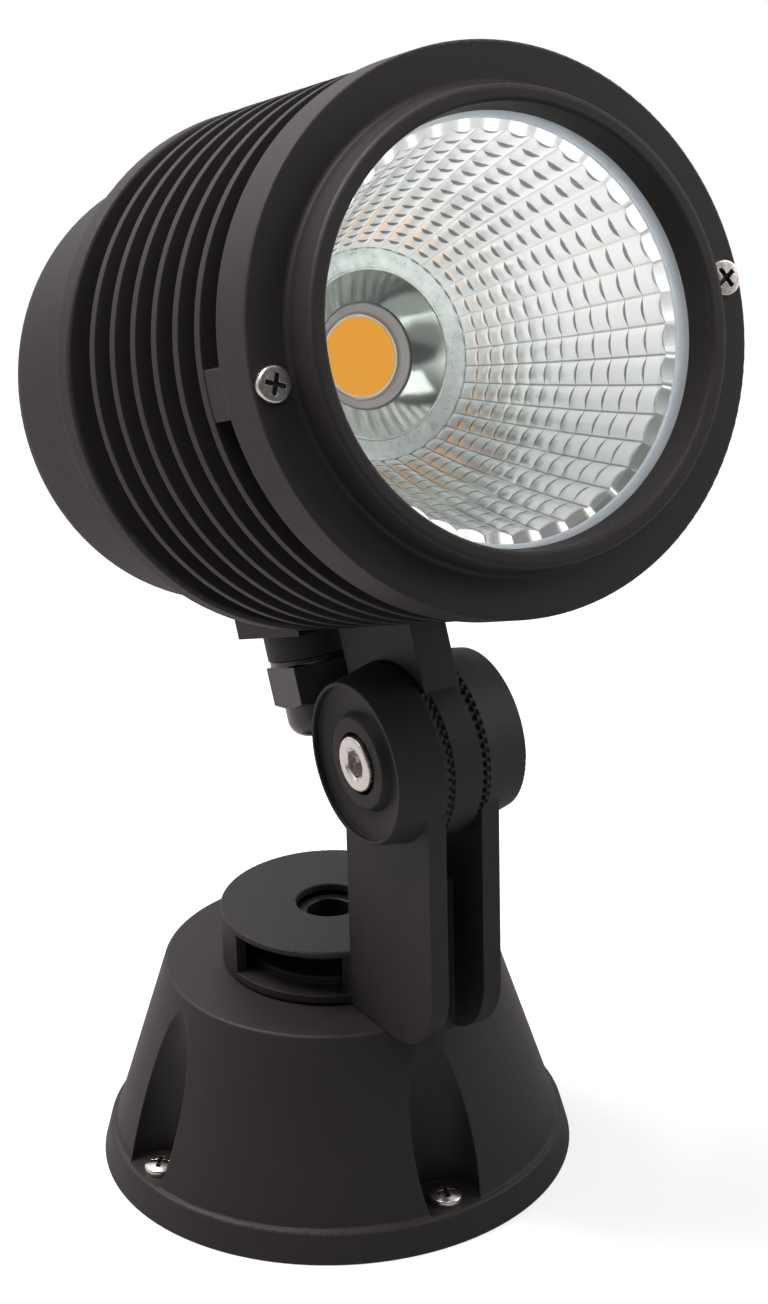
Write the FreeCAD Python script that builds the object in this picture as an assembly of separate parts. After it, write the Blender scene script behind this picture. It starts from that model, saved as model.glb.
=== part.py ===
import FreeCAD, Part
import math
import os
from FreeCAD import Placement, Rotation, Vector

os.makedirs("parts", exist_ok=True)

# Landscape spotlight on a canopy base. Millimetres, +Z up. The origin is the centre of the
# base's underside. The lamp shines towards -Y and its pivot bolt lies along X.

# ---- posture -------------------------------------------------------------------------
lamp_tilt = 21.8              # lamp axis above the horizontal, degrees
pivot_forward = 41.4          # pivot bolt ahead of the swivel axis
pivot_height = 124.0          # pivot bolt above the ground
arm_length = 88.4             # lamp axis above the pivot bolt
arm_setback = 75.0            # pivot bolt behind the bezel's face

# ---- clearances ----------------------------------------------------------------------
moving_gap = 0.3              # between pieces that move past each other
running_gap = 0.06            # radial, shaft in its bore
seat_gap = 0.2                # radial, pieces that slip together
thread_gap = 0.04             # radial, screw in its hole

# ---- screws --------------------------------------------------------------------------
m4_radius = 2.0
m4_head_radius = 3.9
m4_head_height = 2.6
m8_radius = 4.0
m8_head_radius = 6.5
m8_head_height = 8.0
m8_socket_width = 6.0
m8_nut_width = 13.0
m8_nut_height = 6.5

# ---- bezel ---------------------------------------------------------------------------
bezel_radius = 60.0
bezel_depth = 13.1
collar_foot_radius = 50.5
collar_rim_radius = 49.6
collar_bore_radius = 46.1
collar_height = 8.4
collar_fillet = 1.2
shoulder_radius = 45.2
shoulder_height = 0.4         # glass face ahead of the bezel's face
bezel_screw_circle = 55.6

# ---- glass and its gasket ------------------------------------------------------------
glass_radius = 47.6
glass_thickness = 4.0
gasket_thickness = 1.0
gasket_bore = 43.0

# ---- finned body ---------------------------------------------------------------------
core_radius = 48.0
core_bore = 45.8
bore_depth = 28.0             # straight part of the bore, behind the bezel's face
chamber_radius = 31.0
chamber_depth = 60.0
floor_depth = 65.5            # chamber floor behind the bezel's face
fin_radius = 59.5
fin_count = 6
fin_pitch = 10.22
first_fin_depth = 21.2
fin_tip = 2.4
fin_root = 3.2
plate_depth = 86.4            # thick rear plate, front face
plate_thickness = 6.6
plate_round = 1.0
boss_width = 10.8             # screw bosses behind the bezel
tongue_thickness = 9.0
tongue_radius = 21.0
neck_width = 33.0
spigot_height = 3.0
wire_hole_radius = 4.0

# ---- reflector and LED ---------------------------------------------------------------
facet_columns = 40
facet_rows = 13
reflector_rim = 42.7
reflector_throat = 22.6
throat_depth = 57.2
reflector_wall = 1.6
reflector_flange = 1.8
cup_mouth = 17.4
cup_throat = 10.9
cup_wall = 0.8
cup_rise = 3.4
holder_radius = 21.5
holder_height = 4.5
board_radius = 13.4
board_thickness = 1.0
pad_thickness = 0.5
emitter_radius = 8.6
emitter_thickness = 0.6

# ---- rear housing --------------------------------------------------------------------
seal_thickness = 0.8
seal_bore = 49.1
housing_front_radius = 52.0
housing_back_radius = 51.2
housing_length = 46.2
housing_round = 10.0
housing_wall = 3.0
post_circle = 36.0
post_radius = 5.0
driver_width = 38.0
driver_height = 58.0
driver_length = 32.0

# ---- cable gland ---------------------------------------------------------------------
gland_behind = 17.6           # gland axis behind the rear plate
gland_pad_half = 13.6
gland_pad_drop = 59.3         # flat of the pad below the lamp axis
gland_boss_radius = 12.7
gland_boss_drop = 65.3
gland_thread_radius = 8.0
gland_bore = 5.0
gland_flange_radius = 12.4
gland_flange = 1.6
gland_nut_width = 23.4
gland_nut_height = 9.6
gland_nozzle_radius = 11.3
gland_nozzle_tip = 7.0
gland_nozzle_height = 7.7
cable_radius = 3.5

# ---- swivel bracket ------------------------------------------------------------------
bracket_radius = 26.2
bracket_wall = 2.6
lid_radius = 26.4
lid_thickness = 1.8
cable_hole_radius = 8.2
sill_height = 2.4
bracket_height = 14.1
turntable_radius = 20.0
turntable_height = 4.2
fork_plate = 4.6
fork_front_reach = 18.6       # plates' front and back edges from the pivot bolt
fork_back_reach = 17.0
fork_corner = 17.0
web_setback = 12.7
web_thickness = 5.0
web_drop = 33.0               # top of the web below the pivot bolt
ear_radius = 18.8             # at the outer face
ear_root_radius = 21.2        # at the serrated face
ear_thickness = 12.0
ear_rim = 0.9
ear_recess = 1.5
ear_dish = 1.3
ear_boss_radius = 10.5
ear_boss_setback = 0.6
counterbore_radius = 7.3
bolt_proud = 0.4              # bolt head past the ear's rim
serration_count = 60
serration_depth = 0.8
serration_length = 1.0

# ---- swivel stem ---------------------------------------------------------------------
stem_radius = 8.0
stem_bore = 5.5
stem_nut_width = 22.0
stem_nut_height = 5.0
washer_radius = 13.5
washer_thickness = 1.2
stop_circle = 17.0
stop_pin_radius = 1.9
stop_groove_depth = 2.4
stop_lug_angle = 16.0

# ---- canopy base ---------------------------------------------------------------------
base_radius = 57.5
flange_top_radius = 55.4
flange_height = 8.0
cone_foot_radius = 54.2
cone_top_radius = 40.3
canopy_height = 51.9
canopy_wall = 2.8
canopy_roof = 4.5
skirt_wall = 3.0
base_plate_thickness = 4.0
base_gasket_thickness = 1.0
base_gasket_bore = 43.5
base_screw_circle = 49.5
base_screw_count = 4
pocket_radius = 8.2
mount_hole_circle = 35.0
mount_hole_radius = 2.75
mount_hole_count = 4
cable_entry_radius = 10.0
edge_round = 0.6

# ---- sizes that follow ---------------------------------------------------------------
ear_inner = tongue_thickness / 2 + moving_gap
ear_outer = ear_inner + ear_thickness
fork_outer = ear_inner + fork_plate
bracket_floor = canopy_height + moving_gap
lid_top = bracket_floor + bracket_height
lid_under = lid_top - lid_thickness
turntable_top = bracket_floor + turntable_height
glass_back = shoulder_height - glass_thickness
core_front = glass_back - gasket_thickness
body_back = -(plate_depth + plate_thickness)
rear_face = body_back - seal_thickness
rear_end = rear_face - housing_length
gland_setback = plate_depth + plate_thickness + gland_behind
floor_level = -floor_depth
board_face = floor_level + pad_thickness + board_thickness
holder_face = floor_level + holder_height
canopy_floor = base_plate_thickness + base_gasket_thickness
base_plate_radius = base_radius - skirt_wall - seat_gap

lamp_turn = Rotation(Vector(1, 0, 0), 90 - lamp_tilt)
pivot = Vector(0, -pivot_forward, pivot_height)
# Lamp frame: x across, y up, z out of the glass, origin where the axis meets the bezel's face.
lamp_place = Placement(pivot - lamp_turn.multVec(Vector(0, -arm_length, -arm_setback)), lamp_turn)


def outline(corners):
    """Closed wire in the XY plane through (x, y) or (x, y, corner radius)."""
    spans = []
    for i, corner in enumerate(corners):
        here = Vector(corner[0], corner[1], 0)
        if len(corner) < 3:
            spans.append((here, None, here))
            continue
        before = corners[i - 1]
        after = corners[(i + 1) % len(corners)]
        back = (Vector(before[0], before[1], 0) - here).normalize()
        on = (Vector(after[0], after[1], 0) - here).normalize()
        half = back.getAngle(on) / 2
        inward = (back + on).normalize()
        centre = here + inward * (corner[2] / math.sin(half))
        reach = corner[2] / math.tan(half)
        spans.append((here + back * reach, centre - inward * corner[2], here + on * reach))
    edges = []
    for i, (start, middle, end) in enumerate(spans):
        if middle:
            edges.append(Part.Arc(start, middle, end).toShape())
        following = spans[(i + 1) % len(spans)][0]
        if (following - end).Length > 1e-6:
            edges.append(Part.LineSegment(end, following).toShape())
    return Part.Wire(edges)


def turned(corners):
    """Solid of revolution about Z through (radius, height) corners."""
    face = Part.Face(outline(corners))
    face.rotate(Vector(), Vector(1, 0, 0), 90)
    return face.revolve(Vector(), Vector(0, 0, 1), 360)


def prism(corners, low, high):
    """The outline extruded along Z from low to high."""
    face = Part.Face(outline(corners))
    face.translate(Vector(0, 0, low))
    return face.extrude(Vector(0, 0, high - low))


def rod(radius, low, high, x=0, y=0):
    return Part.makeCylinder(radius, high - low, Vector(x, y, low))


def block(x_low, x_high, y_low, y_high, z_low, z_high):
    size = (x_high - x_low, y_high - y_low, z_high - z_low)
    return Part.makeBox(*size, Vector(x_low, y_low, z_low))


def hexagon(width, low, high, turn=0):
    """Hexagonal prism of that width across flats."""
    corner = width / math.sqrt(3)
    angles = [math.radians(60 * i + turn) for i in range(6)]
    return prism([(corner * math.cos(a), corner * math.sin(a)) for a in angles], low, high)


def on_circle(radius, count, start=0):
    """Points spaced evenly round a circle, as (x, y, degrees)."""
    turns = [start + 360 * i / count for i in range(count)]
    return [
        (radius * math.cos(math.radians(a)), radius * math.sin(math.radians(a)), a)
        for a in turns
    ]


def placed(shape, place):
    return shape.transformed(place.toMatrix(), True)


def at(shape, x, y, z=0):
    moved = shape.copy()
    moved.translate(Vector(x, y, z))
    return moved


def drilled(solid, tools):
    return solid.cut(Part.makeCompound(tools))


def joined(solid, others):
    return solid.fuse(others).removeSplitter()


def along_x(shape, x=0):
    """A shape built along +Z, laid along +X from the pivot bolt's axis."""
    return placed(shape, Placement(pivot + Vector(x, 0, 0), Rotation(Vector(0, 1, 0), 90)))


def pan_screw(length):
    """Pan head screw pointing down, its seat at z = 0, with a cross recess."""
    body = turned([
        (0, -length),
        (m4_radius, -length),
        (m4_radius, 0),
        (m4_head_radius, 0),
        (m4_head_radius, m4_head_height * 0.45),
        (m4_head_radius * 0.6, m4_head_height),
        (0, m4_head_height),
    ])
    arm = m4_head_radius * 0.52
    blade = m4_head_radius * 0.13
    depth = m4_head_height * 0.55
    cross = [
        block(-arm, arm, -blade, blade, depth, m4_head_height + 1),
        block(-blade, blade, -arm, arm, depth, m4_head_height + 1),
    ]
    return drilled(body, cross)


def export(name, shape, place=None):
    solid = placed(shape, place) if place else shape
    solid.exportStep("parts/" + name + ".step")
    print(name, len(solid.Solids), "solid", round(solid.Volume / 1000, 2), "cm3", solid.isValid())


# ---- bezel: face, collar that stands out of it, pocket for the glass ---------------------
bezel_bore = core_radius + seat_gap
bezel = turned([
    (bezel_radius, 0, edge_round),
    (collar_foot_radius, 0, collar_fillet),
    (collar_rim_radius, collar_height, 1.2),
    (collar_bore_radius, collar_height, 0.8),
    (shoulder_radius, shoulder_height),
    (bezel_bore, shoulder_height),
    (bezel_bore, -bezel_depth),
    (bezel_radius, -bezel_depth, edge_round),
])
bezel_screw_spots = on_circle(bezel_screw_circle, 2)
bezel = drilled(bezel, [
    rod(m4_radius + seat_gap, -bezel_depth - 1, 1, x, y) for x, y, turn in bezel_screw_spots
])
export("front_bezel", bezel, lamp_place)

bezel_screw_length = first_fin_depth + fin_root - 0.5
bezel_screws = [at(pan_screw(bezel_screw_length), x, y) for x, y, turn in bezel_screw_spots]
export("bezel_screws", Part.makeCompound(bezel_screws), lamp_place)

# ---- glass and gasket ------------------------------------------------------------------
glass = turned([
    (0, glass_back),
    (glass_radius, glass_back, 0.4),
    (glass_radius, shoulder_height, 0.4),
    (0, shoulder_height),
])
export("front_glass", glass, lamp_place)

glass_gasket = turned([
    (gasket_bore, core_front),
    (glass_radius, core_front),
    (glass_radius, glass_back),
    (gasket_bore, glass_back),
])
export("glass_gasket", glass_gasket, lamp_place)

# ---- finned body: core, fins and rear plate in one turning, then neck, tongue, bosses -----
comb = [(0, floor_level), (chamber_radius, floor_level), (chamber_radius, -chamber_depth)]
comb += [(core_bore, -bore_depth), (core_bore, core_front), (core_radius, core_front)]
for i in range(fin_count):
    tip = -(first_fin_depth + i * fin_pitch)
    flare = (fin_root - fin_tip) / 2
    comb += [
        (core_radius, tip + flare),
        (fin_radius, tip),
        (fin_radius, tip - fin_tip),
        (core_radius, tip - fin_tip - flare),
    ]
comb += [(core_radius, -plate_depth), (fin_radius, -plate_depth, plate_round)]
comb += [(fin_radius, body_back, plate_round), (seal_bore - seat_gap, body_back)]
comb += [(seal_bore - seat_gap, body_back - spigot_height)]
comb += [(seal_bore - housing_wall, body_back - spigot_height)]
comb += [(seal_bore - housing_wall, body_back), (0, body_back)]
body = turned(comb)

boss_front = -bezel_depth
boss_back = -first_fin_depth - fin_tip / 2
boss_reach = fin_radius - 0.2
boss_blank = block(-boss_reach, boss_reach, -boss_width / 2, boss_width / 2, boss_back, boss_front)
bosses = boss_blank.common(rod(boss_reach, boss_back, boss_front))
bosses = bosses.cut(rod(core_radius - 1, boss_back, boss_front))

half_tongue = tongue_thickness / 2
neck_front = -arm_setback + neck_width / 2
neck_back = -arm_setback - neck_width / 2
neck_top = -(core_radius - 1)
neck = block(-half_tongue, half_tongue, -arm_length, neck_top, neck_back, neck_front)
tongue = Part.makeCylinder(
    tongue_radius,
    tongue_thickness,
    Vector(-half_tongue, -arm_length, -arm_setback),
    Vector(1, 0, 0),
)
body = joined(body, [bosses, neck, tongue])


def tooth_gaps(radius, low, high):
    """What the small V teeth leave out of a rim of that radius, about Z."""
    corners = []
    for i in range(2 * serration_count):
        reach = radius if i % 2 == 0 else radius - serration_depth
        angle = math.radians(180 * i / serration_count)
        corners.append((reach * math.cos(angle), reach * math.sin(angle)))
    return rod(radius + serration_depth, low, high).cut(prism(corners, low, high))


to_pivot = Placement(Vector(0, -arm_length, -arm_setback), Rotation(Vector(0, 1, 0), 90))
# The neck joins the tongue, so only the free rim is notched.
for low in (-half_tongue, half_tongue - serration_length):
    gaps = placed(tooth_gaps(tongue_radius, low, low + serration_length), to_pivot)
    body = body.cut(gaps.cut(neck))

pivot_bore = Part.makeCylinder(
    m8_radius + running_gap,
    tongue_thickness + 2,
    Vector(-half_tongue - 1, -arm_length, -arm_setback),
    Vector(1, 0, 0),
)
holes = [pivot_bore]
holes += [
    rod(m4_radius + thread_gap, -bezel_screw_length - 1, boss_front + 1, x, y)
    for x, y, turn in bezel_screw_spots
]
post_spots = on_circle(post_circle, 4, 45)
post_screw_depth = plate_thickness + 2
holes += [
    rod(m4_radius + thread_gap, body_back - 1 - spigot_height, body_back + post_screw_depth, x, y)
    for x, y, turn in post_spots
]
wire_hole_spot = (chamber_radius + holder_radius) / 2 + 1
holes.append(rod(wire_hole_radius, body_back - 1, -chamber_depth, 0, wire_hole_spot - 2))
driver_screw_spots = [(0, driver_height / 2 + 4.5), (0, -driver_height / 2 - 4.5)]
driver_lug = 3.0
holes += [
    rod(m4_radius + thread_gap, body_back - 1, body_back + 7, x, y) for x, y in driver_screw_spots
]
body = drilled(body, holes)
export("finned_body", body, lamp_place)

# ---- faceted reflector: rings of flat facets on a parabola --------------------------------
rim_level = core_front
slope = (reflector_rim ** 2 - reflector_throat ** 2) / (throat_depth + rim_level)
levels = []
for i in range(facet_rows + 1):
    radius = reflector_rim + (reflector_throat - reflector_rim) * i / facet_rows
    levels.append((radius, -throat_depth + (radius ** 2 - reflector_throat ** 2) / slope))
flange_reach = core_bore - seat_gap
back_rings = [(reflector_throat, floor_level), (reflector_throat + reflector_wall, floor_level)]
for share in (1.0, 0.66, 0.33):
    radius = reflector_rim + (reflector_throat - reflector_rim) * share
    level = -throat_depth + (radius ** 2 - reflector_throat ** 2) / slope
    back_rings.append((radius + reflector_wall, level - reflector_wall))
neck_level = rim_level - reflector_flange
back_rings += [(reflector_rim + reflector_wall, neck_level), (flange_reach, neck_level)]
back_rings.append((flange_reach, rim_level))
rings = levels + back_rings
step = 2 * math.pi / facet_columns
facets = []
for i, (radius, level) in enumerate(rings):
    next_radius, next_level = rings[(i + 1) % len(rings)]
    for k in range(facet_columns):
        a, b = k * step, (k + 1) * step
        quad = [
            Vector(radius * math.cos(a), radius * math.sin(a), level),
            Vector(radius * math.cos(b), radius * math.sin(b), level),
            Vector(next_radius * math.cos(b), next_radius * math.sin(b), next_level),
            Vector(next_radius * math.cos(a), next_radius * math.sin(a), next_level),
        ]
        facets.append(Part.Face(Part.makePolygon(quad + quad[:1])))
reflector_shell = Part.makeShell(facets)
reflector_shell.sewShape()
reflector = Part.makeSolid(reflector_shell)
if reflector.Volume < 0:
    reflector.reverse()
export("reflector", reflector, lamp_place)

cup_level = holder_face + cup_rise
reflector_cup = turned([
    (cup_throat, holder_face),
    (cup_throat + cup_wall, holder_face),
    (cup_mouth + cup_wall * 0.6, cup_level - cup_wall),
    (reflector_throat - seat_gap, cup_level - cup_wall * 0.6),
    (reflector_throat - seat_gap, cup_level + cup_wall * 0.4),
    (cup_mouth, cup_level),
])
export("reflector_cup", reflector_cup, lamp_place)

# ---- LED: pad, board, emitter and the holder that presses them down -------------------------
thermal_pad = rod(board_radius - 0.4, floor_level, floor_level + pad_thickness)
export("thermal_pad", thermal_pad, lamp_place)
led_board = rod(board_radius, floor_level + pad_thickness, board_face)
export("led_board", led_board, lamp_place)
led_emitter = turned([
    (0, board_face),
    (emitter_radius, board_face),
    (emitter_radius, board_face + emitter_thickness, 0.3),
    (0, board_face + emitter_thickness),
])
export("led_emitter", led_emitter, lamp_place)
holder_recess = board_radius + seat_gap
led_holder = turned([
    (holder_recess, floor_level),
    (holder_radius, floor_level),
    (holder_radius, holder_face, 0.5),
    (cup_throat, holder_face),
    (emitter_radius + seat_gap, board_face + emitter_thickness),
    (emitter_radius + seat_gap, board_face),
    (holder_recess, board_face),
])
export("led_holder", led_holder, lamp_place)

# ---- rear housing, its seal, screws and the driver ------------------------------------------
rear_seal = turned([
    (seal_bore, rear_face),
    (housing_front_radius - 0.3, rear_face),
    (housing_front_radius - 0.3, body_back),
    (seal_bore, body_back),
])
export("rear_seal", rear_seal, lamp_place)

inner_front = housing_front_radius - housing_wall
inner_back = housing_back_radius - housing_wall
housing = turned([
    (0, rear_end),
    (housing_back_radius, rear_end, housing_round),
    (housing_front_radius, rear_face, 0.4),
    (0, rear_face),
])
pad_back = -(gland_setback + gland_pad_half)
gland_pad = prism([
    (-gland_pad_half, -gland_pad_drop),
    (gland_pad_half, -gland_pad_drop),
    (gland_pad_half, -inner_back * 0.8),
    (-gland_pad_half, -inner_back * 0.8),
], pad_back, rear_face)
drop_place = Placement(Vector(0, 0, -gland_setback), Rotation(Vector(1, 0, 0), 90))
gland_boss = placed(rod(gland_boss_radius, inner_back * 0.8, gland_boss_drop), drop_place)
housing = joined(housing, [gland_pad, gland_boss])
hollow = turned([
    (0, rear_end + housing_wall),
    (inner_back, rear_end + housing_wall, housing_round - housing_wall),
    (inner_front, rear_face),
    (inner_front, rear_face + 1),
    (0, rear_face + 1),
])
hollow = hollow.cut(Part.makeCompound([
    rod(post_radius, rear_end, rear_face, x, y) for x, y, turn in post_spots
]))
housing = housing.cut(hollow)
head_seat = rear_end + m4_head_height + 0.6
gland_hole = placed(
    rod(gland_thread_radius + thread_gap, inner_back / 2, gland_boss_drop + 1), drop_place
)
tools = [gland_hole]
for x, y, turn in post_spots:
    tools.append(rod(m4_head_radius + 0.5, rear_end - 1, head_seat, x, y))
    tools.append(rod(m4_radius + seat_gap, rear_end, rear_face + 1, x, y))
housing = drilled(housing, tools)
export("rear_housing", housing, lamp_place)

post_screw_length = body_back - head_seat + post_screw_depth - 1
rear_screws = []
for x, y, turn in post_spots:
    screw = pan_screw(post_screw_length)
    screw.rotate(Vector(), Vector(1, 0, 0), 180)
    rear_screws.append(at(screw, x, y, head_seat))
export("rear_screws", Part.makeCompound(rear_screws), lamp_place)

driver_back = body_back - driver_length
driver = prism([
    (-driver_width / 2, -driver_height / 2, 3),
    (driver_width / 2, -driver_height / 2, 3),
    (driver_width / 2, driver_height / 2, 3),
    (-driver_width / 2, driver_height / 2, 3),
], driver_back, body_back)
lug_half = m4_head_radius + 1
lug_reach = driver_height / 2 + 4.5 + lug_half
lug = block(-lug_half, lug_half, -lug_reach, lug_reach, body_back - driver_lug, body_back)
driver = joined(driver, [lug])
driver = drilled(driver, [
    rod(m4_radius + seat_gap, body_back - driver_lug - 1, body_back + 1, x, y)
    for x, y in driver_screw_spots
])
export("led_driver", driver, lamp_place)

driver_screws = []
for x, y in driver_screw_spots:
    screw = pan_screw(driver_lug + 5)
    screw.rotate(Vector(), Vector(1, 0, 0), 180)
    driver_screws.append(at(screw, x, y, body_back - driver_lug))
export("driver_screws", Part.makeCompound(driver_screws), lamp_place)

# ---- cable gland, built along its own axis and hung under the rear housing ------------------
gland_place = lamp_place * drop_place
thread_top = inner_back - 2
nut_top = gland_boss_drop + gland_flange
nut_end = nut_top + gland_nut_height
nozzle_end = nut_end + gland_nozzle_height
cage_radius = gland_thread_radius + 1.4
gland_body = turned([
    (gland_bore, thread_top),
    (gland_thread_radius, thread_top),
    (gland_thread_radius, gland_boss_drop),
    (gland_flange_radius, gland_boss_drop, 0.4),
    (gland_flange_radius, nut_top, 0.4),
    (cage_radius, nut_top),
    (cage_radius, nut_end),
    (gland_bore, nut_end),
])
export("gland_body", gland_body, gland_place)
nut_corner = gland_nut_width / math.sqrt(3)
nut_skin = turned([
    (0, nut_top),
    (nut_corner + 1, nut_top),
    (nut_corner + 1, nut_end - 1.2),
    (gland_nut_width / 2, nut_end, 0.4),
    (gland_nozzle_radius, nut_end + 0.6),
    (gland_nozzle_radius, nozzle_end, gland_nozzle_radius - gland_nozzle_tip),
    (0, nozzle_end),
])
nut_blank = hexagon(gland_nut_width, nut_top, nut_end, 30).fuse(
    rod(gland_nozzle_radius, nut_end, nozzle_end)
)
gland_nut = nut_blank.common(nut_skin)
gland_nut = drilled(gland_nut, [
    rod(cage_radius + seat_gap, nut_top - 1, nut_end + seat_gap),
    rod(gland_bore, nut_end, nozzle_end + 1),
])
export("gland_nut", gland_nut, gland_place)
gland_seal = turned([
    (cable_radius, nut_top),
    (gland_bore - 0.05, nut_top),
    (gland_bore - 0.05, nozzle_end + 0.5, 0.4),
    (cable_radius, nozzle_end + 0.5, 0.4),
])
export("gland_seal", gland_seal, gland_place)

# ---- swivel bracket: turntable housing, fork plates, web and serrated ears ------------------
bracket = turned([
    (stem_radius + running_gap, bracket_floor),
    (bracket_radius, bracket_floor, edge_round),
    (bracket_radius, lid_under, 0.5),
    (lid_radius, lid_under, edge_round),
    (lid_radius, lid_top, edge_round),
    (cable_hole_radius, lid_top, 0.3),
    (cable_hole_radius, lid_under),
    (bracket_radius - bracket_wall, lid_under, 1.0),
    (bracket_radius - bracket_wall, bracket_floor + sill_height, 0.5),
    (turntable_radius, bracket_floor + sill_height),
    (turntable_radius, turntable_top, 0.4),
    (stem_radius + running_gap, turntable_top),
])
# The front half of the wall is open between the sill and the lid, as far as the fork.
window = block(
    -bracket_radius - 1,
    bracket_radius + 1,
    -bracket_radius - 1,
    0,
    bracket_floor + sill_height,
    lid_under,
)
window = window.cut(block(-fork_outer, fork_outer, -bracket_radius - 1, 0, 0, lid_top))
inner_wall = rod(bracket_radius - bracket_wall - 0.5, bracket_floor + sill_height, lid_under)
bracket = bracket.cut(window.cut(inner_wall))

fork_front = -pivot_forward - fork_front_reach
fork_back = -pivot_forward + fork_back_reach
web_top = pivot_height - web_drop


def side_plate(x_low, x_high):
    """Fork plate seen from the side: square back, rounded toe, up to the pivot."""
    face = Part.Face(outline([
        (fork_back, bracket_floor),
        (fork_front, bracket_floor, fork_corner),
        (fork_front, pivot_height),
        (fork_back, pivot_height),
    ]))
    upright = Placement(Vector(x_low, 0, 0), Rotation(Vector(1, 1, 1), 120))
    return placed(face, upright).extrude(Vector(x_high - x_low, 0, 0))


plates = [side_plate(ear_inner, fork_outer), side_plate(-fork_outer, -ear_inner)]
web_front = fork_front + web_setback
web = block(-ear_inner, ear_inner, web_front, web_front + web_thickness, bracket_floor, web_top)
# A spine joins the plates at the back, over the turntable housing's front wall.
spine_depth = bracket_radius - bracket_wall
spine = block(
    -fork_outer,
    fork_outer,
    fork_back - 0.5,
    -math.sqrt(spine_depth ** 2 - fork_outer ** 2) + 1,
    bracket_floor,
    lid_top,
)
back_web = block(-ear_inner, ear_inner, fork_back - web_thickness, fork_back, bracket_floor, web_top)
ear_profile = [
    (0, ear_inner),
    (ear_root_radius, ear_inner),
    (ear_radius, ear_outer, 0.4),
    (ear_radius - ear_rim, ear_outer, 0.3),
    (ear_radius - ear_rim, ear_outer - ear_recess),
    (ear_boss_radius + ear_dish, ear_outer - ear_recess - ear_dish),
    (ear_boss_radius, ear_outer - ear_boss_setback, 0.5),
    (0, ear_outer - ear_boss_setback),
]
ear = turned(ear_profile)
right_ear = along_x(ear)
left_ear = right_ear.mirror(Vector(), Vector(1, 0, 0))
bracket = joined(bracket, plates + [web, spine, back_web, left_ear, right_ear])

ear_notches = []
for low in (ear_inner, -ear_inner - serration_length):
    ear_notches.append(along_x(tooth_gaps(ear_root_radius, low, low + serration_length)))
plate_keep = block(
    -fork_outer, fork_outer, fork_front - 1, fork_back + 1, bracket_floor, pivot_height - 8
)
bolt_seat = ear_outer + bolt_proud - m8_head_height
nut_seat = ear_outer - m8_nut_height - 1.4
cuts = [notch.cut(plate_keep) for notch in ear_notches]
cuts.append(along_x(rod(m8_radius + thread_gap, -ear_outer - 1, ear_outer + 1)))
cuts.append(along_x(rod(counterbore_radius, -ear_outer - 1, -bolt_seat)))
cuts.append(along_x(hexagon(m8_nut_width + 2 * seat_gap, nut_seat, ear_outer + 1)))
groove = rod(
    stop_circle + stop_pin_radius + moving_gap, bracket_floor - 1, bracket_floor + stop_groove_depth
).cut(rod(
    stop_circle - stop_pin_radius - moving_gap, bracket_floor - 1, bracket_floor + stop_groove_depth
))
lug_reach = math.tan(math.radians(stop_lug_angle / 2)) * 2 * stop_circle
stop_lug = prism(
    [(0, 0), (lug_reach, -2 * stop_circle), (-lug_reach, -2 * stop_circle)],
    bracket_floor - 2,
    bracket_floor + stop_groove_depth + 1,
)
cuts.append(groove.cut(stop_lug))
bracket = drilled(bracket, cuts)
export("swivel_bracket", bracket)

# ---- pivot bolt, washer and nut -------------------------------------------------------------
bolt_length = bolt_seat + ear_outer - 1.5
bolt = turned([
    (0, 0),
    (m8_head_radius, 0),
    (m8_head_radius, m8_head_height, 0.8),
    (0, m8_head_height),
]).fuse(rod(m8_radius, -bolt_length, 0.1))
bolt = bolt.cut(hexagon(m8_socket_width, m8_head_height - 4.2, m8_head_height + 1))
bolt = placed(
    bolt, Placement(pivot + Vector(-bolt_seat, 0, 0), Rotation(Vector(0, 1, 0), -90))
)
export("pivot_bolt", bolt)
nut_washer = turned([
    (m8_radius + thread_gap, nut_seat),
    (m8_nut_width / 2 - 0.2, nut_seat),
    (m8_nut_width / 2 - 0.2, nut_seat + 1.2),
    (m8_radius + thread_gap, nut_seat + 1.2),
])
export("pivot_washer", along_x(nut_washer))
nut_face = nut_seat + 1.2 + m8_nut_height * 0.8
pivot_nut = hexagon(m8_nut_width, nut_seat + 1.2, nut_face).cut(
    rod(m8_radius + thread_gap, nut_seat, nut_face + 1)
)
export("pivot_nut", along_x(pivot_nut))

# ---- canopy: flange, cone, four screwdriver pockets and the roof ---------------------------
canopy = turned([
    (0, 0),
    (base_radius, 0, edge_round),
    (flange_top_radius, flange_height, 1.0),
    (cone_foot_radius, flange_height, 0.8),
    (cone_top_radius, canopy_height, 1.0),
    (0, canopy_height),
])
screw_spots = on_circle(base_screw_circle, base_screw_count, -90)
canopy = drilled(canopy, [
    rod(pocket_radius, flange_height, canopy_height + 1, x, y) for x, y, turn in screw_spots
])
roof_under = canopy_height - canopy_roof
cone_slope = (cone_foot_radius - cone_top_radius) / (canopy_height - flange_height)
inner_foot = cone_foot_radius - canopy_wall - (canopy_floor - flange_height) * cone_slope
inner_roof = cone_top_radius - canopy_wall + canopy_roof * cone_slope
floor_bore = base_gasket_bore
hollow = turned([
    (0, canopy_floor - 1),
    (floor_bore, canopy_floor - 1),
    (floor_bore, flange_height),
    (inner_foot - flange_height * cone_slope * 0.2, flange_height),
    (inner_roof, roof_under, 2.0),
    (0, roof_under),
])
pocket_walls = [
    rod(pocket_radius + canopy_wall, 0, canopy_height, x, y) for x, y, turn in screw_spots
]
hollow = hollow.cut(Part.makeCompound(pocket_walls))
skirt_cut = rod(base_plate_radius + seat_gap, -1, canopy_floor)
canopy = drilled(canopy, [hollow, skirt_cut])
stem_hole = rod(stem_radius + thread_gap, roof_under - 1, canopy_height + 1)
pin_hole_depth = 3.0
stop_hole = rod(
    stop_pin_radius + thread_gap, canopy_height - pin_hole_depth, canopy_height + 1, 0, stop_circle
)
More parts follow.
